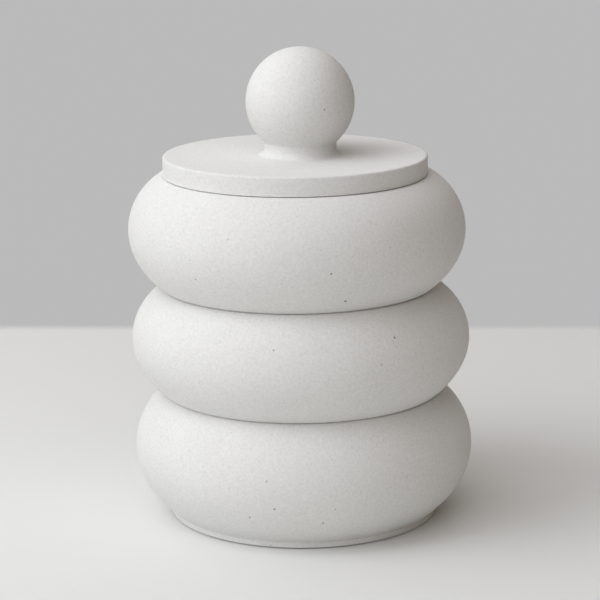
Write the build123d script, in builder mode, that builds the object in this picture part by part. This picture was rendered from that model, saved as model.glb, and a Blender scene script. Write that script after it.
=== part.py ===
"""Stacking pyxis in pale unglazed stoneware: three round bowls, a flat lid and a ball knob.

Each bowl swells out as a soft roll, and has its own floor, cavity and round mouth. A ring
under the two upper bowls and under the lid drops loosely into the mouth below, so the stack
lifts apart. The knob is luted to the lid. Sizes are in millimetres, +Z is up, and the origin
is the middle of the base tier's foot, on the surface that it stands on.
"""

import os
from math import acos, degrees, isclose, sin, sqrt

from build123d import *

# Clay thicknesses
wall = 6.0
floor_thickness = 6.0
lip_thickness = 6.0

# The mouth that all three tiers share, and the rings that locate a piece in it
mouth_radius = 38.0
seat_play = 1.5
ring_height = 4.0
ring_width = 5.0
worn_edge = 1.0

# Width of the tiers: each lower one is a little wider than the one on it
top_radius = 60.0
middle_overhang = 0.5
base_overhang = 0.3

# The curve that the three tiers share, as half widths of the ellipses that it is part of
belly_reach = 48.9
shoulder_reach = 22.9

# The two seams, where a shoulder meets the belly above it in an open groove, in from that belly
lower_seam_depth = 10.7
upper_seam_depth = 11.4
seam_edge = 1.5

# Base tier
base_height = 45.6
base_widest = 25.1
foot_inset = 12.6
foot_height = 2.1
foot_width = 6.0
foot_recess = 2.0
foot_edge = 0.8

# Middle tier, with heights from its own underside
middle_height = 38.1
middle_widest = 19.1

# Top tier, with heights from its own underside
top_height = 39.8
top_widest = 20.2
top_rim_width = 10.8
top_rim_edge = 1.0

# Lid
lid_lap = 8.9
lid_thickness = 6.9
lid_top_edge = 0.8
lid_under_edge = 0.4

# Knob: a ball on a short neck that flares on to the lid
knob_radius = 19.2
knob_rise = 18.8
neck_radius = 12.8
neck_flare = 2.0
flare_land = 0.3
neck_crease = 0.5
knob_offset = 1.9

# Share of the loose play by which each piece stands to the left on the one below
middle_shift = 0.52
top_shift = 0.76
lid_shift = 0.3

# Sizes and places that follow from these
middle_radius = top_radius + middle_overhang
base_radius = middle_radius + base_overhang
upper_seam_radius = top_radius - upper_seam_depth
lower_seam_radius = middle_radius - lower_seam_depth
ring_radius = mouth_radius - seat_play
top_rim_radius = mouth_radius + top_rim_width
lid_radius = mouth_radius + lid_lap
foot_radius = base_radius - foot_inset
base_floor = foot_height + floor_thickness

middle_x = -middle_shift * seat_play
top_x = middle_x - top_shift * seat_play
lid_x = top_x - lid_shift * seat_play
knob_x = lid_x + knob_offset

middle_z = base_height
top_z = middle_z + middle_height
lid_z = top_z + top_height
knob_z = lid_z + lid_thickness


def section_plane(x, z):
    """Upright plane through a piece's axis: its first direction is outwards, its second up."""
    return Plane(origin=(x, 0, z), x_dir=(1, 0, 0), z_dir=(0, -1, 0))


def level_plane(x, z):
    """Level plane at height z, centred on the axis of the piece that stands at x."""
    return Plane(origin=(x, 0, z))


def upright_axis(x):
    """Axis of the piece that stands at x."""
    return Axis((x, 0, 0), (0, 0, 1))


def partial_arc(inset, reach, rise):
    """Height and sweep of an elliptical arc that leaves a widest ring and stops part way round.

    The arc starts upright, comes in by inset over a height of rise, and belongs to an ellipse
    whose half width is reach.
    """
    sweep = acos((reach - inset) / reach)
    return rise / sin(sweep), degrees(sweep)


def swelling_side(radius, widest, low_radius, low, high_radius, high):
    """Outside of a tier: a belly out to the widest ring, and a shoulder that closes in above it."""
    belly_height, belly_sweep = partial_arc(radius - low_radius, belly_reach, widest - low)
    EllipticalCenterArc(
        (radius - belly_reach, widest),
        belly_reach,
        belly_height,
        -belly_sweep,
        arc_size=belly_sweep,
    )
    shoulder_height, shoulder_sweep = partial_arc(
        radius - high_radius, shoulder_reach, high - widest
    )
    EllipticalCenterArc(
        (radius - shoulder_reach, widest),
        shoulder_reach,
        shoulder_height,
        0,
        arc_size=shoulder_sweep,
    )


def cavity_outline(radius, widest, low_radius, floor, height):
    """Half section of a tier's hollow: flat floor, swelling side, and a shoulder in to the mouth."""
    inner = radius - wall
    floor_radius = low_radius - wall
    ceiling = height - lip_thickness
    Line((0, height), (0, floor))
    Line((0, floor), (floor_radius, floor))
    EllipticalCenterArc(
        (floor_radius, widest), inner - floor_radius, widest - floor, -90, arc_size=90
    )
    EllipticalCenterArc(
        (mouth_radius, widest), inner - mouth_radius, ceiling - widest, 0, arc_size=90
    )
    Line((mouth_radius, ceiling), (mouth_radius, height))
    Line((mouth_radius, height), (0, height))


def round_edges(edges, radius):
    """The edges, out of those given, that are circles of one radius."""
    circles = edges.filter_by(GeomType.CIRCLE)
    return circles.filter_by(lambda edge: isclose(edge.radius, radius, abs_tol=1e-6))


os.makedirs("parts", exist_ok=True)

# Base tier: a bowl on a low foot ring
with BuildPart() as base_tier:
    with BuildSketch(section_plane(0, 0)):
        with BuildLine():
            Line((0, base_height), (0, 0))
            Line((0, 0), (foot_radius, 0))
            Line((foot_radius, 0), (foot_radius, foot_height))
            swelling_side(
                base_radius, base_widest, foot_radius, foot_height, lower_seam_radius, base_height
            )
            Line((lower_seam_radius, base_height), (0, base_height))
        make_face()
    revolve(axis=upright_axis(0))
    with BuildSketch(section_plane(0, 0)):
        with BuildLine():
            cavity_outline(base_radius, base_widest, foot_radius, base_floor, base_height)
        make_face()
    revolve(axis=upright_axis(0), mode=Mode.SUBTRACT)
    with BuildSketch(level_plane(0, 0)):
        Circle(foot_radius - foot_width)
    extrude(amount=foot_recess, mode=Mode.SUBTRACT)
    fillet(round_edges(base_tier.edges(), mouth_radius), worn_edge)
    fillet(round_edges(base_tier.edges(), lower_seam_radius), seam_edge)
    fillet(base_tier.edges().group_by(Axis.Z)[0], foot_edge)

# Middle tier: a bowl with a locating ring under its floor
with BuildPart() as middle_tier:
    with BuildSketch(section_plane(middle_x, middle_z)):
        with BuildLine():
            Line((0, middle_height), (0, 0))
            Line((0, 0), (lower_seam_radius, 0))
            swelling_side(
                middle_radius,
                middle_widest,
                lower_seam_radius,
                0,
                upper_seam_radius,
                middle_height,
            )
            Line((upper_seam_radius, middle_height), (0, middle_height))
        make_face()
    revolve(axis=upright_axis(middle_x))
    with BuildSketch(section_plane(middle_x, middle_z)):
        with BuildLine():
            cavity_outline(
                middle_radius, middle_widest, lower_seam_radius, floor_thickness, middle_height
            )
        make_face()
    revolve(axis=upright_axis(middle_x), mode=Mode.SUBTRACT)
    with BuildSketch(level_plane(middle_x, middle_z)):
        Circle(ring_radius)
        Circle(ring_radius - ring_width, mode=Mode.SUBTRACT)
    extrude(amount=-ring_height)
    fillet(round_edges(middle_tier.edges(), mouth_radius), worn_edge)
    fillet(round_edges(middle_tier.edges(), lower_seam_radius), seam_edge)
    fillet(round_edges(middle_tier.edges(), upper_seam_radius), seam_edge)
    fillet(middle_tier.edges().group_by(Axis.Z)[0], worn_edge)

# Top tier: like the middle one, with a flat rim for the lid
with BuildPart() as top_tier:
    with BuildSketch(section_plane(top_x, top_z)):
        with BuildLine():
            Line((0, top_height), (0, 0))
            Line((0, 0), (upper_seam_radius, 0))
            swelling_side(top_radius, top_widest, upper_seam_radius, 0, top_rim_radius, top_height)
            Line((top_rim_radius, top_height), (0, top_height))
        make_face()
    revolve(axis=upright_axis(top_x))
    with BuildSketch(section_plane(top_x, top_z)):
        with BuildLine():
            cavity_outline(top_radius, top_widest, upper_seam_radius, floor_thickness, top_height)
        make_face()
    revolve(axis=upright_axis(top_x), mode=Mode.SUBTRACT)
    with BuildSketch(level_plane(top_x, top_z)):
        Circle(ring_radius)
        Circle(ring_radius - ring_width, mode=Mode.SUBTRACT)
    extrude(amount=-ring_height)
    fillet(round_edges(top_tier.edges(), mouth_radius), worn_edge)
    fillet(round_edges(top_tier.edges(), upper_seam_radius), seam_edge)
    fillet(round_edges(top_tier.edges(), top_rim_radius), top_rim_edge)
    fillet(top_tier.edges().group_by(Axis.Z)[0], worn_edge)

# Lid: a flat plate with a locating ring under it
with BuildPart() as lid:
    with BuildSketch(level_plane(lid_x, lid_z)):
        Circle(lid_radius)
    extrude(amount=lid_thickness)
    fillet(lid.edges().group_by(Axis.Z)[-1], lid_top_edge)
    fillet(lid.edges().group_by(Axis.Z)[0], lid_under_edge)
    with BuildSketch(level_plane(lid_x, lid_z)):
        Circle(ring_radius)
        Circle(ring_radius - ring_width, mode=Mode.SUBTRACT)
    extrude(amount=-ring_height)
    fillet(lid.edges().group_by(Axis.Z)[0], worn_edge)

# Knob: a ball whose neck spreads in a small cove on to the lid
with BuildPart() as knob:
    with BuildSketch(section_plane(knob_x, knob_z)):
        flare_radius = neck_radius + neck_flare
        flare_height = flare_land + neck_flare
        ball_drop = sqrt(knob_radius**2 - neck_radius**2)
        crease = (neck_radius, knob_rise - ball_drop)
        with BuildLine():
            Line((0, knob_rise + knob_radius), (0, 0))
            Line((0, 0), (flare_radius, 0))
            Line((flare_radius, 0), (flare_radius, flare_land))
            CenterArc((flare_radius, flare_height), neck_flare, -90, -90)
            Line((neck_radius, flare_height), crease)
            CenterArc(
                (0, knob_rise),
                knob_radius,
                -degrees(acos(neck_radius / knob_radius)),
                90 + degrees(acos(neck_radius / knob_radius)),
            )
        make_face()
    revolve(axis=upright_axis(knob_x))
    neck_edges = round_edges(knob.edges(), neck_radius)
    fillet(neck_edges.sort_by(Axis.Z)[-1], neck_crease)

for name, piece in (
    ("base_tier", base_tier),
    ("middle_tier", middle_tier),
    ("top_tier", top_tier),
    ("lid", lid),
    ("knob", knob),
):
    piece.part.label = name
    export_step(piece.part, f"parts/{name}.step")
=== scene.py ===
"""Looks of a stacking pyxis: three bowls, a flat lid and a ball knob in unglazed stoneware.

Every piece is turned about its own upright axis, so each mesh is a half section carried round a
circle. Sections are drawn in millimetres, from the axis out and back to the axis, and the meshes
are in metres in the frame's own place.
"""

import logging
import math
from dataclasses import dataclass
from enum import Enum

import bpy
import numpy as np
from mathutils import Matrix, Vector


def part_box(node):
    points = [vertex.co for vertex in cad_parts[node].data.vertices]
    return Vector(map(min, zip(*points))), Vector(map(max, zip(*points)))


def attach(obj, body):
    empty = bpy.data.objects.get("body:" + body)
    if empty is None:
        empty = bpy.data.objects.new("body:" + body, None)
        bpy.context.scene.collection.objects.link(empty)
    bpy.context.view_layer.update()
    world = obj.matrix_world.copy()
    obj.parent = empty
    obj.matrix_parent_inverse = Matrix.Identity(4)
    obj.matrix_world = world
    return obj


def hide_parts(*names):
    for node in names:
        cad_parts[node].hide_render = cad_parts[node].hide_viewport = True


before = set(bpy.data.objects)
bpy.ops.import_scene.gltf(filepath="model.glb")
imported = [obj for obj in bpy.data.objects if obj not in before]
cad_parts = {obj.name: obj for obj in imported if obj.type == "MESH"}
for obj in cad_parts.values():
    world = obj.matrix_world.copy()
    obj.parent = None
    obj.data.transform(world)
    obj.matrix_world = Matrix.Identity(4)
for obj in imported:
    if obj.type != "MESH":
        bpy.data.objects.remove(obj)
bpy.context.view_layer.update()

MM = 0.001

# How far the inner corners underneath the pieces are filled, in millimetres.
CORNER_FILL = 0.3

# Edges that turn by more degrees than this are shaded as edges.
SHARP_ANGLE = 50.0

log = logging.getLogger("pyxis")


class Side(Enum):
    """Side of the clay that a stretch of a section is on, with the spacing of its points in mm."""

    SHOWN = 0.8
    INNER = 1.8
    UNDER = 2.4


def linear(hex_colour: str) -> tuple[float, float, float, float]:
    """Turns an sRGB hex colour into linear red, green, blue and an alpha of one.

    Args:
        hex_colour: Colour such as "#E8E6E2".

    Returns:
        The four channels that a shader's colour socket takes.
    """
    channels = np.array([int(hex_colour[i : i + 2], 16) for i in (1, 3, 5)]) / 255.0
    bright = ((channels + 0.055) / 1.055) ** 2.4
    values = np.where(channels <= 0.04045, channels / 12.92, bright)
    return (*map(float, values), 1.0)


def add_node(
    tree: bpy.types.NodeTree, kind: str, inputs: dict, **settings: object
) -> bpy.types.Node:
    """Adds one node with its settings, values and links.

    Args:
        tree: Node tree that gets the node.
        kind: Blender's name for the node, without its "ShaderNode" start.
        inputs: Input name or number to a value, or to the output socket that feeds it.
        **settings: The node's own properties.

    Returns:
        The new node.
    """
    node = tree.nodes.new("ShaderNode" + kind)
    for name, value in settings.items():
        setattr(node, name, value)
    for name, value in inputs.items():
        if isinstance(value, bpy.types.NodeSocket):
            tree.links.new(value, node.inputs[name])
        else:
            node.inputs[name].default_value = value
    return node


@dataclass(frozen=True)
class Pinhole:
    """A pinhole in the outside of a piece.

    Attributes:
        turn: Degrees round the piece's axis, to the right of its front.
        height: Height above the surface that the piece bears on, mm.
        width: Width of the hole, mm.
    """

    turn: float
    height: float
    width: float


@dataclass(frozen=True)
class Stoneware:
    """Finish of unglazed white stoneware, thrown, sponged smooth and fired bare.

    Bare fired clay scatters light evenly, so it has no gloss. Close up, the sponge has washed out
    the finest clay and left a sandy grain, with darker grit here and there, and a few pinholes
    where trapped air has burst; their darkness is painted shade. Lengths are in millimetres.

    Attributes:
        clay: Colour of the fired clay.
        hole: Painted shade at the bottom of a pinhole: a darker colour that stands for its shade.
        roughness: Roughness of the bare surface.
        ior: Index of refraction of fired clay.
        grain: Width of the sandy grain. Real grain is about 0.2 mm. It is drawn coarser, because
            grain much finer than a pixel is averaged away.
        grain_detail: Number of finer layers in the grain.
        grain_contrast: How far the grain lightens or darkens the clay, as a share.
        grain_depth: Height of the grain.
        cloud: Width of the faint cloudy patches that drying leaves.
        cloud_detail: Number of finer layers in the patches.
        cloud_contrast: How far the patches lighten or darken the clay, as a share.
        grit_gap: Distance between the darker sand grains, through the clay.
        grit_width: Width of such a grain.
        grit_contrast: How much darker it is, as a share.
        bubble_gap: Distance between small trapped bubbles, through the clay.
        bubble_width: Width of such a bubble.
        hole_depth: Depth of a pinhole.
    """

    clay: str = "#E5E5E3"
    hole: str = "#8F8A84"
    roughness: float = 0.9
    ior: float = 1.45
    grain: float = 0.9
    grain_detail: float = 1.0
    grain_contrast: float = 0.2
    grain_depth: float = 0.1
    cloud: float = 20.0
    cloud_detail: float = 2.0
    cloud_contrast: float = 0.06
    grit_gap: float = 2.4
    grit_width: float = 0.9
    grit_contrast: float = 0.08
    bubble_gap: float = 12.0
    bubble_width: float = 0.45
    hole_depth: float = 0.3

    def dots(
        self, tree: bpy.types.NodeTree, place: bpy.types.NodeSocket, gap: float, width: float
    ) -> bpy.types.NodeSocket:
        """Scatters round dots, where the surface cuts balls that lie at random in the clay.

        Args:
            tree: Node tree of the material.
            place: Socket with the place in metres.
            gap: Distance between balls.
            width: Width of a ball.

        Returns:
            Socket that is 1 in the middle of a dot and 0 outside it.
        """
        cells = add_node(tree, "TexVoronoi", {"Vector": place, "Scale": 1 / (gap * MM)})
        radius = width / gap / 2
        edges = {"Value": cells.outputs["Distance"], "From Min": radius, "From Max": radius / 2}
        return add_node(tree, "MapRange", edges, interpolation_type="SMOOTHSTEP").outputs[0]

    def noise(
        self, tree: bpy.types.NodeTree, place: bpy.types.NodeSocket, width: float, detail: float
    ) -> bpy.types.NodeSocket:
        """Adds a soft random pattern of a given width.

        Args:
            tree: Node tree of the material.
            place: Socket with the place in metres.
            width: Width of the pattern's patches.
            detail: Number of finer layers in it.

        Returns:
            Socket that goes from 0 to 1.
        """
        scales = {"Vector": place, "Scale": 1 / (width * MM), "Detail": detail}
        return add_node(tree, "TexNoise", scales).outputs["Fac"]

    def clay_colour(
        self, tree: bpy.types.NodeTree, place: bpy.types.NodeSocket, grain: bpy.types.NodeSocket
    ) -> bpy.types.NodeSocket:
        """Makes the clay lighter or darker with its grain, its cloudy patches and its grit.

        Args:
            tree: Node tree of the material.
            place: Socket with the place in metres.
            grain: Socket of the sandy grain.

        Returns:
            Socket with the clay's colour.
        """
        cloud = self.noise(tree, place, self.cloud, self.cloud_detail)
        grit = self.dots(tree, place, self.grit_gap, self.grit_width)
        level = 1 - (self.grain_contrast + self.cloud_contrast) / 2
        for pattern, share in (
            (grain, self.grain_contrast),
            (cloud, self.cloud_contrast),
            (grit, -self.grit_contrast),
        ):
            terms = {0: pattern, 1: share, 2: level}
            level = add_node(tree, "Math", terms, operation="MULTIPLY_ADD").outputs[0]
        scaled = {0: linear(self.clay)[:3], "Scale": level}
        return add_node(tree, "VectorMath", scaled, operation="SCALE").outputs[0]

    def pits(
        self, tree: bpy.types.NodeTree, place: bpy.types.NodeSocket, spots: np.ndarray
    ) -> bpy.types.NodeSocket:
        """Marks the pinholes: some at random, and those that have a given place.

        Args:
            tree: Node tree of the material.
            place: Socket with the place in metres.
            spots: Rows of x, y, z and radius, in metres, of the pinholes that have a given place.

        Returns:
            Socket that is 1 in the middle of a pinhole and 0 outside it.
        """
        pits = self.dots(tree, place, self.bubble_gap, self.bubble_width)
        for x, y, z, radius in spots.tolist():
            apart = add_node(tree, "VectorMath", {0: place, 1: (x, y, z)}, operation="DISTANCE")
            edges = {"Value": apart.outputs["Value"], "From Min": radius, "From Max": radius / 2}
            pit = add_node(tree, "MapRange", edges, interpolation_type="SMOOTHSTEP").outputs[0]
            pits = add_node(tree, "Math", {0: pits, 1: pit}, operation="MAXIMUM").outputs[0]
        return pits

    def material(self, spots: np.ndarray) -> bpy.types.Material:
        """Makes the node material: grainy clay, with pinholes as pits darkened with painted shade.

        Args:
            spots: Rows of x, y, z and radius, in metres, of the pinholes that have a given place.

        Returns:
            The finished material.
        """
        made = bpy.data.materials.new("unglazed_white_stoneware")
        made.use_nodes = True
        tree = made.node_tree
        tree.nodes.clear()
        place = add_node(tree, "TexCoord", {}).outputs["Object"]
        grain = self.noise(tree, place, self.grain, self.grain_detail)
        clay = self.clay_colour(tree, place, grain)
        pits = self.pits(tree, place, spots)
        # Painted shade: the clay is mixed towards the hole colour in the pinholes, standing in for
        # the shade inside them.
        colours = {0: pits, 6: clay, 7: linear(self.hole)}
        colour = add_node(tree, "Mix", colours, data_type="RGBA").outputs[2]
        relief = {"Height": grain, "Distance": self.grain_depth * MM}
        grainy = add_node(tree, "Bump", relief).outputs[0]
        relief = {"Height": pits, "Distance": self.hole_depth * MM, "Normal": grainy}
        pitted = add_node(tree, "Bump", relief, invert=True).outputs[0]
        shader = add_node(
            tree,
            "BsdfPrincipled",
            {
                "Base Color": colour,
                "Roughness": self.roughness,
                "IOR": self.ior,
                "Normal": pitted,
            },
        )
        add_node(tree, "OutputMaterial", {"Surface": shader.outputs[0]})
        return made


def spread(points: np.ndarray, spacing: float) -> np.ndarray:
    """Re-spaces a polyline evenly: equal steps of arc length, no longer than the spacing.

    Args:
        points: Points of the line, n rows of radius and height.
        spacing: Largest step, in the same unit.

    Returns:
        The new points, with both ends kept.
    """
    steps = np.hypot(*np.diff(points, axis=0).T)
    along = np.concatenate(([0.0], np.cumsum(steps)))
    count = max(2, math.ceil(along[-1] / spacing) + 1)
    wanted = np.linspace(0.0, along[-1], count)
    return np.stack([np.interp(wanted, along, column) for column in points.T], axis=1)


def trimmed(points: np.ndarray, head: float, tail: float) -> np.ndarray:
    """Cuts a length off each end of a polyline, measured along it.

    Args:
        points: Points of the line, n rows of radius and height.
        head: Length cut off its start.
        tail: Length cut off its end.

    Returns:
        The points that are left, with new end points at the cuts.
    """
    steps = np.hypot(*np.diff(points, axis=0).T)
    along = np.concatenate(([0.0], np.cumsum(steps)))
    last = along[-1] - tail
    inside = along[(along > head) & (along < last)]
    wanted = np.concatenate(([head], inside, [last]))
    return np.stack([np.interp(wanted, along, column) for column in points.T], axis=1)


def partial_arc(inset: float, reach: float, rise: float) -> tuple[float, float]:
    """Half height and sweep of an elliptical arc that leaves a widest ring and stops part way.

    The arc starts upright and comes in by the inset over the rise, so with the half width reach,
    cos(sweep) = (reach - inset) / reach and half height = rise / sin(sweep).

    Args:
        inset: How far in from the widest ring the arc ends.
        reach: Half width of the ellipse.
        rise: How far above or below the widest ring the arc ends.

    Returns:
        Half height of the ellipse, and the sweep in degrees.
    """
    sweep = math.acos((reach - inset) / reach)
    return rise / math.sin(sweep), math.degrees(sweep)


class Section:
    """Half section of a turned piece, drawn as lines and elliptical arcs joined end to end.

    A corner can be eased: the last and first few tenths of a millimetre of the two stretches that
    meet there give way to a parabola that is tangent to both.

    Attributes:
        CORNER_STEPS: Number of points on an eased corner.
        FINE: Number of points at which a stretch is worked out before it is re-spaced.
        SAME: Distance up to which two points count as one.
    """

    CORNER_STEPS = 7
    FINE = 200
    SAME = 1e-6

    def __init__(self, radius: float, height: float) -> None:
        """Starts the section at a radius and height."""
        self.end = (radius, height)
        self.stretches: list[tuple[np.ndarray, float, float]] = []

    def line(self, radius: float, height: float, side: Side, ease: float = 0.0) -> "Section":
        """Draws a straight stretch to a radius and height.

        Args:
            radius: Radius of its end.
            height: Height of its end.
            side: Side of the clay, which sets the spacing of its points.
            ease: How far from its end the corner starts to round.

        Returns:
            The section itself.
        """
        points = np.linspace(self.end, (radius, height), self.FINE)
        return self._add(points, side, ease)

    def arc(
        self,
        centre: tuple[float, float],
        reach: float,
        rise: float,
        angles: tuple[float, float],
        side: Side,
        ease: float = 0.0,
    ) -> "Section":
        """Draws part of an ellipse: radius = centre + reach cos t, height = centre + rise sin t.

        Args:
            centre: Radius and height of the ellipse's centre.
            reach: Half its width.
            rise: Half its height.
            angles: First and last value of t, in degrees.
            side: Side of the clay, which sets the spacing of its points.
            ease: How far from its end the corner starts to round.

        Returns:
            The section itself.
        """
        turn = np.radians(np.linspace(*angles, self.FINE))
        points = np.stack(
            [centre[0] + reach * np.cos(turn), centre[1] + rise * np.sin(turn)], axis=1
        )
        return self._add(points, side, ease)

    def _add(self, points: np.ndarray, side: Side, ease: float) -> "Section":
        """Keeps a stretch and moves the section's end to the end of it.

        Args:
            points: Points of the stretch, n rows of radius and height.
            side: Side of the clay, which sets the spacing of its points.
            ease: How far from its end the corner starts to round.

        Returns:
            The section itself.
        """
        self.stretches.append((points, side.value, ease))
        self.end = tuple(points[-1])
        return self

    def points(self) -> np.ndarray:
        """Joins the stretches, with their corners eased.

        Returns:
            The section's points, n rows of radius and height, with none repeated.
        """
        parts = []
        head = 0.0
        share = np.linspace(0.0, 1.0, self.CORNER_STEPS)[:, None]
        for number, (points, spacing, ease) in enumerate(self.stretches):
            part = spread(trimmed(points, head, ease), spacing)
            parts.append(part)
            head = ease
            if ease > 0.0:
                following = self.stretches[number + 1][0]
                after = trimmed(following, ease, 0.0)[0]
                leaving = (1 - share) ** 2 * part[-1]
                turning = 2 * share * (1 - share) * points[-1]
                parts.append(leaving + turning + share**2 * after)
        joined = np.concatenate(parts)
        moved = np.hypot(*np.diff(joined, axis=0).T) > self.SAME
        return joined[np.concatenate(([True], moved))]


@dataclass
class TurnedPiece:
    """A piece of the stack, turned about its own upright axis.

    Attributes:
        node: CAD node that the piece stands for.
        body: CAD body that it moves with.
        segments: Number of steps round the axis.
        unevenness: About how far the hand-finished surface departs from a true turned one, mm.
        seed: Number that picks the phases of the unevenness.
        pinholes: Pinholes that have a given place on the piece's outside.
        WAVE_TURNS: Numbers of waves round the axis that the unevenness is made of.
        WAVE_DRIFT: Largest drift of a wave's phase, in radians for each millimetre of height.
    """

    WAVE_TURNS = (2, 3, 4, 5)
    WAVE_DRIFT = 0.08

    node: str
    body: str
    segments: int = 384
    unevenness: float = 0.08
    seed: int = 1
    pinholes: tuple[Pinhole, ...] = ()

    def __post_init__(self) -> None:
        """Reads the piece's axis, radius and heights from its CAD node, in millimetres."""
        low, high = (np.array(corner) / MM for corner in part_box(self.node))
        self.axis = (low[:2] + high[:2]) / 2
        self.radius = float(high[0] - low[0]) / 2
        self.low = float(low[2])
        self.high = float(high[2])

    def underside(self) -> float:
        """Height in the frame of the surface that the piece bears on, mm."""
        return self.low

    def section(self) -> Section:
        """Draws the half section, in millimetres, from the axis below to the axis above."""
        raise NotImplementedError

    def spots(self) -> np.ndarray:
        """Places the pinholes on the outermost surface at their heights.

        Returns:
            Rows of x, y, z and radius, in metres.
        """
        section = self.section().points()
        start, end = section[:-1], section[1:]
        rows = []
        for hole in self.pinholes:
            height = self.underside() + hole.height
            crossing = (start[:, 1] - height) * (end[:, 1] - height) < 0
            low, high = start[crossing], end[crossing]
            share = (height - low[:, 1]) / (high[:, 1] - low[:, 1])
            radius = (low[:, 0] + share * (high[:, 0] - low[:, 0])).max()
            turn = math.radians(hole.turn)
            x = self.axis[0] + radius * math.sin(turn)
            y = self.axis[1] - radius * math.cos(turn)
            rows.append((x, y, height, hole.width / 2))
        return np.array(rows).reshape(-1, 4) * MM

    def freedom(self, section: np.ndarray) -> np.ndarray:
        """Share of the unevenness that each point of the section may take: none where it seats."""
        return np.zeros(len(section))

    def waves(self, angle: np.ndarray, height: np.ndarray) -> np.ndarray:
        """Slow waves of a hand-finished surface, most of them between -1 and 1.

        The sum of a cosine for each number of waves round the axis. Its phase drifts with height,
        and it is divided by its number of waves.

        Args:
            angle: Angles round the axis, a column.
            height: Heights of the section's points, a row.

        Returns:
            One value for each angle and height.
        """
        random = np.random.default_rng(self.seed)
        turns = np.array(self.WAVE_TURNS)[:, None, None]
        phase = random.uniform(0.0, 2 * math.pi, turns.shape)
        drift = random.uniform(-self.WAVE_DRIFT, self.WAVE_DRIFT, turns.shape)
        parts = np.cos(turns * angle + phase + drift * height) / turns
        return parts.sum(axis=0)

    def mesh(self) -> bpy.types.Mesh:
        """Carries the section round the axis.

        A point of the surface is the section's point at (r, z), moved along the section's outward
        normal by the unevenness, and turned by its angle: (r cos a, r sin a, z). The first and the
        last point lie on the axis and are one vertex each.

        Returns:
            The mesh, in metres, in the frame's place.
        """
        section = self.section().points()
        along = np.gradient(section, axis=0)
        along /= np.hypot(*along.T)[:, None]
        normal = np.stack([along[:, 1], -along[:, 0]], axis=1)
        angle = np.linspace(0.0, 2 * math.pi, self.segments, endpoint=False)[:, None]
        depart = self.unevenness * self.freedom(section) * self.waves(angle, section[:, 1])
        radius = section[:, 0] + depart * normal[:, 0]
        height = section[:, 1] + depart * normal[:, 1]
        grid = np.stack(
            [self.axis[0] + radius * np.cos(angle), self.axis[1] + radius * np.sin(angle), height],
            axis=2,
        )
        rows = len(section) - 2
        poles = [[*self.axis, section[0, 1]], [*self.axis, section[-1, 1]]]
        vertices = np.concatenate([grid[:, 1:-1].reshape(-1, 3), poles]) * MM
        return surface_mesh(self.node, vertices, *turned_faces(self.segments, rows))

    def build(self, material: bpy.types.Material) -> bpy.types.Object:
        """Makes the piece, dresses it and ties it to the frame.

        Args:
            material: Finish of the piece.

        Returns:
            The piece's object.
        """
        piece = bpy.data.objects.new(self.node + "_clay", self.mesh())
        bpy.context.scene.collection.objects.link(piece)
        piece.data.materials.append(material)
        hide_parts(self.node)
        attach(piece, self.body)
        log.info("%s: %d faces", piece.name, len(piece.data.polygons))
        return piece


def turned_faces(segments: int, rows: int) -> tuple[np.ndarray, np.ndarray]:
    """Faces of a closed turned surface, whose vertices run row by row within each segment.

    Args:
        segments: Number of steps round the axis.
        rows: Number of points of the section between its two poles.

    Returns:
        The quads between the rows, and the triangles at the two poles, which are the last two
        vertices. All of them face outwards.
    """
    here = np.arange(segments)[:, None] * rows
    there = np.roll(here, -1, axis=0)
    row = np.arange(rows - 1)[None, :]
    quads = np.stack([here + row, there + row, there + row + 1, here + row + 1], axis=2)
    here = here[:, 0]
    there = there[:, 0]
    first = np.full(segments, segments * rows)
    last = first + 1
    below = np.stack([first, there, here], axis=1)
    above = np.stack([here + rows - 1, there + rows - 1, last], axis=1)
    return quads.reshape(-1, 4), np.concatenate([below, above])


def surface_mesh(
    name: str, vertices: np.ndarray, quads: np.ndarray, triangles: np.ndarray
) -> bpy.types.Mesh:
    """Puts vertices and faces into a smooth-shaded mesh.

    Args:
        name: Name of the mesh.
        vertices: n rows of x, y and z, in metres.
        quads: Rows of four vertex numbers.
        triangles: Rows of three vertex numbers.

    Returns:
        The mesh.
    """
    mesh = bpy.data.meshes.new(name)
    corners = np.concatenate([quads.ravel(), triangles.ravel()])
    sizes = np.concatenate([np.full(len(quads), 4), np.full(len(triangles), 3)])
    starts = np.concatenate(([0], np.cumsum(sizes)[:-1]))
    mesh.vertices.add(len(vertices))
    mesh.vertices.foreach_set("co", vertices.astype(np.float32).ravel())
    mesh.loops.add(len(corners))
    mesh.loops.foreach_set("vertex_index", corners.astype(np.int32))
    mesh.polygons.add(len(sizes))
    mesh.polygons.foreach_set("loop_start", starts.astype(np.int32))
    mesh.polygons.foreach_set("use_smooth", np.ones(len(sizes), bool))
    mesh.update(calc_edges=True)
    mesh.validate()
    mesh.set_sharp_from_angle(angle=math.radians(SHARP_ANGLE))
    return mesh


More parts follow.
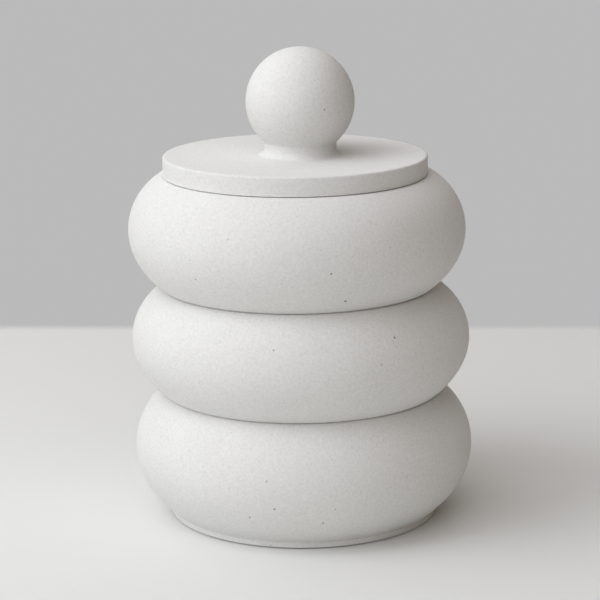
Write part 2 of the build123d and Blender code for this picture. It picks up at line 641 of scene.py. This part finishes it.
@dataclass
class Bowl(TurnedPiece):
    """A bowl of the stack: a soft roll outside, with a floor, a hollow and a round mouth.

    Heights are measured from the underside that bears on the bowl below. The defaults are the
    middle bowl's.

    Attributes:
        widest: Height of the widest ring.
        bearing: Radius at which the underside ends and the belly starts.
        belly_low: Height at which the belly starts.
        belly_reach: Half width of the ellipse that the belly belongs to.
        seat: Radius at which the shoulder ends and the flat seat round the mouth starts.
        shoulder_reach: Half width of the ellipse that the shoulder belongs to.
        bearing_edge: How far the underside's outer edge is worn round.
        seat_edge: How far the seat's outer edge is worn round.
        seat_fall: How far the seat falls from where it bears to its outer edge.
        seat_flat: Radius within which the seat is flat.
        mouth: Radius of the mouth.
        wall: Thickness of the clay at the widest ring.
        floor: Height of the hollow's floor.
        lip: Thickness of the clay round the mouth.
        ring: Outer radius of the locating ring underneath.
        ring_width: Width of that ring.
        ring_depth: How far it reaches down.
        edge: How far the edges that are handled are worn round.
        steady: Width of the strip beside the seat and the bearing face that is true.
        blend: Width over which the unevenness then grows to its full size.
    """

    widest: float = 19.1
    bearing: float = 49.8
    belly_low: float = 0.0
    belly_reach: float = 48.9
    seat: float = 48.6
    shoulder_reach: float = 22.9
    bearing_edge: float = 1.0
    seat_edge: float = 0.9
    seat_fall: float = 0.0
    seat_flat: float = 42.0
    mouth: float = 38.0
    wall: float = 6.0
    floor: float = 6.0
    lip: float = 6.0
    ring: float = 36.5
    ring_width: float = 5.0
    ring_depth: float = 4.0
    edge: float = 1.0
    steady: float = 2.0
    blend: float = 8.0

    def underside(self) -> float:
        """Height of the underside that bears on the bowl below, in the frame."""
        return self.low + self.ring_depth

    def belly_start(self) -> float:
        """Radius at which the belly starts."""
        return self.bearing

    def draw_foot(self, base: float) -> Section:
        """Draws from the axis below, over the locating ring, out to the start of the belly.

        Args:
            base: Height of the underside in the frame.

        Returns:
            The section so far.
        """
        inner = self.ring - self.ring_width
        tip = base - self.ring_depth
        section = Section(0.0, base)
        section.line(inner, base, Side.UNDER, CORNER_FILL)
        section.line(inner, tip, Side.UNDER, self.edge)
        section.line(self.ring, tip, Side.UNDER, self.edge)
        section.line(self.ring, base, Side.UNDER, CORNER_FILL)
        section.line(self.bearing, base, Side.INNER, self.bearing_edge)
        return section

    def draw_side(self, section: Section, base: float) -> None:
        """Draws the belly out to the widest ring, and the shoulder in to the seat and the mouth.

        Args:
            section: Section that ends where the belly starts.
            base: Height of the underside in the frame.
        """
        middle = base + self.widest
        half_height, sweep = partial_arc(
            self.radius - self.belly_start(), self.belly_reach, self.widest - self.belly_low
        )
        section.arc(
            (self.radius - self.belly_reach, middle),
            self.belly_reach,
            half_height,
            (-sweep, 0),
            Side.SHOWN,
        )
        edge = self.high - self.seat_fall
        half_height, sweep = partial_arc(
            self.radius - self.seat, self.shoulder_reach, edge - middle
        )
        section.arc(
            (self.radius - self.shoulder_reach, middle),
            self.shoulder_reach,
            half_height,
            (0, sweep),
            Side.SHOWN,
            self.seat_edge,
        )
        section.line(self.seat_flat, self.high, Side.INNER)
        section.line(self.mouth, self.high, Side.INNER, self.edge)

    def draw_hollow(self, section: Section, base: float) -> None:
        """Draws the inside, from the mouth down to the axis on the floor.

        Args:
            section: Section that ends at the mouth's upper edge.
            base: Height of the underside in the frame.
        """
        inner = self.radius - self.wall
        flat = self.bearing - self.wall
        ceiling = self.high - self.lip
        middle = base + self.widest
        section.line(self.mouth, ceiling, Side.INNER, self.edge)
        section.arc(
            (self.mouth, middle), inner - self.mouth, ceiling - middle, (90, 0), Side.INNER
        )
        section.arc(
            (flat, middle), inner - flat, self.widest - self.floor, (0, -90), Side.INNER
        )
        section.line(0.0, base + self.floor, Side.UNDER)

    def section(self) -> Section:
        """Draws the half section of the bowl.

        Returns:
            The section, from the axis below to the axis on the floor.
        """
        base = self.underside()
        section = self.draw_foot(base)
        self.draw_side(section, base)
        self.draw_hollow(section, base)
        return section

    def freedom(self, section: np.ndarray) -> np.ndarray:
        """Full unevenness on the roll, none beside the seat and the bearing face."""
        start = max(self.seat, self.bearing) + self.steady
        return np.clip((section[:, 0] - start) / self.blend, 0.0, 1.0)


@dataclass
class BaseBowl(Bowl):
    """The lowest bowl, whose belly starts on top of a low foot ring.

    Attributes:
        foot_width: Width of the foot ring.
        foot_recess: How far the underside is hollowed inside the foot ring.
        foot_relief: How far the foot's outer edge stands clear of the surface under it.
        relief_width: How far in from that edge the foot touches the surface.
        foot_slope: How far the side of the foot draws in towards the belly.
        foot_edge: How far the edges of the foot are worn round.
        foot_crease: How far the corner between foot and belly is filled.
    """

    widest: float = 25.1
    bearing: float = 48.2
    belly_low: float = 2.3
    seat: float = 49.8
    floor: float = 8.1
    foot_width: float = 6.0
    foot_recess: float = 2.0
    foot_relief: float = 0.45
    relief_width: float = 4.5
    foot_slope: float = 0.5
    foot_edge: float = 0.15
    foot_crease: float = 0.3

    def underside(self) -> float:
        """Height of the surface that the foot stands on, in the frame."""
        return self.low

    def belly_start(self) -> float:
        """Radius at which the belly starts, on top of the foot."""
        return self.bearing - self.foot_slope

    def draw_foot(self, base: float) -> Section:
        """Draws from the axis below, over the foot ring, up to the start of the belly.

        Args:
            base: Height of the foot's underside in the frame.

        Returns:
            The section so far.
        """
        inner = self.bearing - self.foot_width
        section = Section(0.0, base + self.foot_recess)
        section.line(inner, base + self.foot_recess, Side.UNDER, CORNER_FILL)
        section.line(inner, base, Side.UNDER, self.foot_edge)
        contact = self.bearing - self.relief_width
        clear = base + self.foot_relief
        section.line(contact, base, Side.UNDER, self.foot_edge)
        section.line(contact + self.foot_relief, clear, Side.UNDER, self.foot_edge)
        section.line(self.bearing, clear, Side.UNDER, self.foot_edge)
        section.line(self.belly_start(), base + self.belly_low, Side.SHOWN, self.foot_crease)
        return section


@dataclass
class TopBowl(Bowl):
    """The uppermost bowl, whose seat is the rim that the lid lies on."""

    widest: float = 20.2
    bearing: float = 48.6
    seat: float = 48.8
    seat_fall: float = 0.22


@dataclass
class Lid(TurnedPiece):
    """The flat lid, with a locating ring under it.

    Attributes:
        ring: Outer radius of the locating ring.
        ring_width: Width of that ring.
        ring_depth: How far it reaches down.
        edge: How far the ring's edges are worn round.
        bearing: Radius within which the plate bears on the rim.
        lift: How far its outer edge stands clear of the rim, on average.
        warp_turn: Degrees round the axis at which it stands clear least.
        top_edge: How far the plate's upper edge is worn round.
        under_edge: How far the plate's lower edge is worn round.
    """

    ring: float = 36.5
    ring_width: float = 5.0
    ring_depth: float = 4.0
    edge: float = 1.0
    bearing: float = 42.0
    lift: float = 0.12
    warp_turn: float = -150.0
    unevenness: float = 0.1
    top_edge: float = 0.9
    under_edge: float = 0.3

    def section(self) -> Section:
        """Draws the half section of the plate and its ring.

        Returns:
            The section, from the axis below to the axis on top.
        """
        base = self.low + self.ring_depth
        inner = self.ring - self.ring_width
        section = Section(0.0, base)
        section.line(inner, base, Side.UNDER, CORNER_FILL)
        section.line(inner, self.low, Side.UNDER, self.edge)
        section.line(self.ring, self.low, Side.UNDER, self.edge)
        section.line(self.ring, base, Side.UNDER, CORNER_FILL)
        section.line(self.bearing, base, Side.INNER)
        section.line(self.radius, base + self.lift, Side.INNER, self.under_edge)
        section.line(self.radius, self.high, Side.SHOWN, self.top_edge)
        section.line(0.0, self.high, Side.INNER)
        return section

    def freedom(self, section: np.ndarray) -> np.ndarray:
        """Lets the clear part of the underside warp, more and more towards its outer edge.

        Args:
            section: Points of the section, n rows of radius and height.

        Returns:
            Share of the unevenness that each point may take.
        """
        base = self.low + self.ring_depth
        below = section[:, 1] < base + self.lift + self.under_edge
        outward = (section[:, 0] - self.bearing) / (self.radius - self.bearing)
        return np.where(below, np.clip(outward, 0.0, 1.0), 0.0)

    def waves(self, angle: np.ndarray, height: np.ndarray) -> np.ndarray:
        """One slow wave round the axis, which lowers the underside most at the warp's turn."""
        return np.cos(angle - math.radians(self.warp_turn)) * np.ones_like(height)


@dataclass
class Knob(TurnedPiece):
    """The ball knob on its short neck, which spreads in a small cove on to the lid.

    Attributes:
        neck: Radius of the neck.
        flare: Width and height of the cove at the neck's foot.
        crease: How far the corner between neck and ball is filled.
    """

    neck: float = 12.8
    flare: float = 2.3
    crease: float = 0.3

    def section(self) -> Section:
        """Draws the half section of neck and ball.

        Returns:
            The section, from the axis on the lid to the top of the ball.
        """
        foot = self.neck + self.flare
        middle = self.high - self.radius
        tilt = math.degrees(math.acos(self.neck / self.radius))
        join = middle - math.sqrt(self.radius**2 - self.neck**2)
        section = Section(0.0, self.low)
        section.line(foot, self.low, Side.INNER)
        section.arc(
            (foot, self.low + self.flare), self.flare, self.flare, (-90, -180), Side.SHOWN
        )
        section.line(self.neck, join, Side.SHOWN, self.crease)
        section.arc((0.0, middle), self.radius, self.radius, (-tilt, 90), Side.SHOWN)
        return section


@dataclass(frozen=True)
class Lamp:
    """A round soft lamp, aimed at the middle of the object.

    Attributes:
        name: Name of the lamp.
        turn: Degrees round the object, to the right of its front.
        lift: Degrees above level.
        width: Width of the lamp, in metres.
        power: Power in watts.
        colour: Colour of its light.
        distance: Distance from the middle of the object, in metres.
        aim: Height of that middle, in metres.
    """

    name: str
    turn: float
    lift: float
    width: float
    power: float
    colour: str = "#F7FAFF"
    distance: float = 1.4
    aim: float = 0.08

    def hang(self) -> None:
        """Makes the lamp and points it at the object."""
        turn = math.radians(self.turn)
        lift = math.radians(self.lift)
        level = math.cos(lift)
        toward = Vector((math.sin(turn) * level, -math.cos(turn) * level, math.sin(lift)))
        data = bpy.data.lights.new(self.name, "AREA")
        data.shape = "DISK"
        data.size = self.width
        data.energy = self.power
        data.color = linear(self.colour)[:3]
        lamp = bpy.data.objects.new(self.name, data)
        lamp.location = Vector((0.0, 0.0, self.aim)) + toward * self.distance
        lamp.rotation_euler = toward.to_track_quat("Z", "Y").to_euler()
        lamp.visible_camera = False
        bpy.context.scene.collection.objects.link(lamp)


@dataclass(frozen=True)
class Studio:
    """The plain soft light and the camera.

    Lengths are in metres and angles in radians. The camera's numbers are the view in which the
    outlines of the five pieces fall where they do in the photograph.

    Attributes:
        distance: How far the camera stands in front of the base's axis.
        height: Height of the camera.
        pitch: How far it looks down.
        yaw: How far it looks to the right.
        roll: How far the camera is tipped on its own axis.
        lens: Focal length, in millimetres.
        frame_width: Width of the camera's frame, in millimetres.
        nearest: Distance from which the camera sees.
        fill_colour: Colour of the light that comes from all round.
        fill_strength: Strength of that light.
        wall_colour: Colour that the camera sees behind the board.
        wall_strength: Strength of that colour.
    """

    distance: float = 0.79615
    height: float = 0.26452
    pitch: float = 0.23095
    yaw: float = -0.00127
    roll: float = -0.00753
    lens: float = 136.67
    frame_width: float = 36.0
    nearest: float = 0.01
    fill_colour: str = "#FFCB89"
    fill_strength: float = 0.093
    wall_colour: str = "#BABABA"
    wall_strength: float = 1.0

    def camera(self) -> None:
        """Places the camera and makes it the scene's own."""
        ahead = Vector(
            (
                math.sin(self.yaw) * math.cos(self.pitch),
                math.cos(self.yaw) * math.cos(self.pitch),
                -math.sin(self.pitch),
            )
        )
        level = Vector((math.cos(self.yaw), -math.sin(self.yaw), 0.0))
        upright = level.cross(ahead)
        right = level * math.cos(self.roll) + upright * math.sin(self.roll)
        up = upright * math.cos(self.roll) - level * math.sin(self.roll)
        turn = Matrix((right, up, -ahead)).transposed().to_4x4()
        data = bpy.data.cameras.new("camera")
        data.lens = self.lens
        data.sensor_width = self.frame_width
        data.clip_start = self.nearest
        camera = bpy.data.objects.new("camera", data)
        camera.matrix_world = Matrix.Translation((0.0, -self.distance, self.height)) @ turn
        bpy.context.scene.collection.objects.link(camera)
        bpy.context.scene.camera = camera

    def lamps(self) -> None:
        """Hangs the lamps: a soft one on the left, and wide ones that lift its shadows."""
        for lamp in (
            Lamp("key", turn=-72.0, lift=42.0, width=1.2, power=6.4),
            Lamp("side", turn=-100.0, lift=45.0, width=2.0, power=6.4),
            Lamp("front_left", turn=-40.0, lift=35.0, width=2.0, power=8.6),
            Lamp("front", turn=0.0, lift=50.0, width=2.0, power=6.0),
            Lamp("back", turn=180.0, lift=60.0, width=2.0, power=5.4),
        ):
            lamp.hang()

    def world(self) -> None:
        """Makes the fill light, and the plain grey that the camera sees behind the board."""
        world = bpy.data.worlds.new("studio")
        bpy.context.scene.world = world
        world.use_nodes = True
        tree = world.node_tree
        tree.nodes.clear()
        path = add_node(tree, "LightPath", {}).outputs
        seen = path["Is Camera Ray"]
        for kind in ("Is Glossy Ray", "Is Transmission Ray"):
            seen = add_node(tree, "Math", {0: seen, 1: path[kind]}, operation="MAXIMUM").outputs[0]
        light = {"Color": linear(self.fill_colour), "Strength": self.fill_strength}
        fill = add_node(tree, "Background", light)
        light = {"Color": linear(self.wall_colour), "Strength": self.wall_strength}
        wall = add_node(tree, "Background", light)
        both = add_node(tree, "MixShader", {0: seen, 1: fill.outputs[0], 2: wall.outputs[0]})
        add_node(tree, "OutputWorld", {"Surface": both.outputs[0]})


@dataclass(frozen=True)
class Board:
    """The pale matt board that the object stands on.

    Matt paint scatters light evenly, so the board takes soft shadows and mirrors nothing. Lengths
    are in metres.

    Attributes:
        colour: Colour of the board.
        roughness: Roughness of its paint.
        near: How far it reaches towards the camera.
        far: How far it reaches behind the object.
        half_width: Half its width.
        fade: Width of the strip along its back edge that fades out.
        turn: Degrees by which it is turned on the spot, so that its back edge is seen level.
    """

    colour: str = "#E9EAE8"
    roughness: float = 0.85
    near: float = 0.9
    far: float = 0.2785
    half_width: float = 0.9
    fade: float = 0.016
    turn: float = -1.8

    def directions(self) -> tuple[np.ndarray, np.ndarray]:
        """Works out which way the turned board lies.

        Returns:
            The directions along its width and towards its back edge.
        """
        turn = math.radians(self.turn)
        across = np.array([math.cos(turn), math.sin(turn), 0.0])
        return across, np.array([-across[1], across[0], 0.0])

    def material(self) -> bpy.types.Material:
        """Makes the paint, which turns clear over the strip along the back edge.

        Returns:
            The finished material.
        """
        made = bpy.data.materials.new("matt_pale_board")
        made.use_nodes = True
        tree = made.node_tree
        tree.nodes.clear()
        place = add_node(tree, "TexCoord", {}).outputs["Object"]
        back = add_node(
            tree, "VectorMath", {0: place, 1: self.directions()[1]}, operation="DOT_PRODUCT"
        ).outputs["Value"]
        ends = {"Value": back, "From Min": self.far - self.fade, "From Max": self.far}
        gone = add_node(tree, "MapRange", ends, interpolation_type="SMOOTHSTEP").outputs[0]
        paint = add_node(
            tree,
            "BsdfPrincipled",
            {"Base Color": linear(self.colour), "Roughness": self.roughness},
        )
        clear = add_node(tree, "BsdfTransparent", {})
        faded = add_node(tree, "MixShader", {0: gone, 1: paint.outputs[0], 2: clear.outputs[0]})
        add_node(tree, "OutputMaterial", {"Surface": faded.outputs[0]})
        return made

    def lay(self) -> None:
        """Lays the board under the object."""
        across, back = self.directions()
        left, right = -self.half_width * across, self.half_width * across
        front, rear = -self.near * back, self.far * back
        corners = np.array([left + front, right + front, right + rear, left + rear])
        quad = np.array([[0, 1, 2, 3]])
        no_triangles = np.zeros((0, 3), int)
        mesh = surface_mesh("floor", corners, quad, no_triangles)
        mesh.materials.append(self.material())
        floor = bpy.data.objects.new("floor", mesh)
        bpy.context.scene.collection.objects.link(floor)
        log.info("%s: laid", floor.name)


# Pinholes that are seen from the front, on each piece.
BASE_PINHOLES = (
    Pinhole(-9.8, 18.1, 0.8),
    Pinhole(-18.8, 14.0, 0.7),
    Pinhole(6.5, 12.3, 0.7),
    Pinhole(-12.1, 28.2, 0.6),
    Pinhole(10.2, 17.9, 0.5),
    Pinhole(-58.6, 35.7, 0.5),
    Pinhole(-14.2, 0.9, 0.5),
)
MIDDLE_PINHOLES = (
    Pinhole(33.5, 29.7, 0.9),
    Pinhole(-9.0, 28.0, 0.6),
    Pinhole(26.8, 21.8, 0.6),
)
TOP_PINHOLES = (
    Pinhole(17.5, 5.2, 1.1),
    Pinhole(11.1, 16.2, 0.65),
    Pinhole(-35.9, 12.1, 0.6),
    Pinhole(-37.0, 18.8, 0.5),
)
KNOB_PINHOLES = (Pinhole(26.1, 18.3, 0.6),)


def main() -> None:
    """Builds the pieces, the board and the studio."""
    logging.basicConfig(level=logging.INFO, format="%(name)s: %(message)s")
    pieces: list[TurnedPiece] = [
        BaseBowl("base_tier", "base_tier", seed=3, pinholes=BASE_PINHOLES),
        Bowl("middle_tier", "middle_tier", seed=5, pinholes=MIDDLE_PINHOLES),
        TopBowl("top_tier", "top_tier", seed=8, pinholes=TOP_PINHOLES),
        Lid("lid", "lid"),
        Knob("knob", "lid", pinholes=KNOB_PINHOLES),
    ]
    clay = Stoneware().material(np.concatenate([piece.spots() for piece in pieces]))
    for piece in pieces:
        piece.build(clay)
    Board().lay()
    studio = Studio()
    studio.lamps()
    studio.world()
    studio.camera()
    bpy.context.scene.view_settings.view_transform = "Standard"


if __name__ == "__main__":
    main()
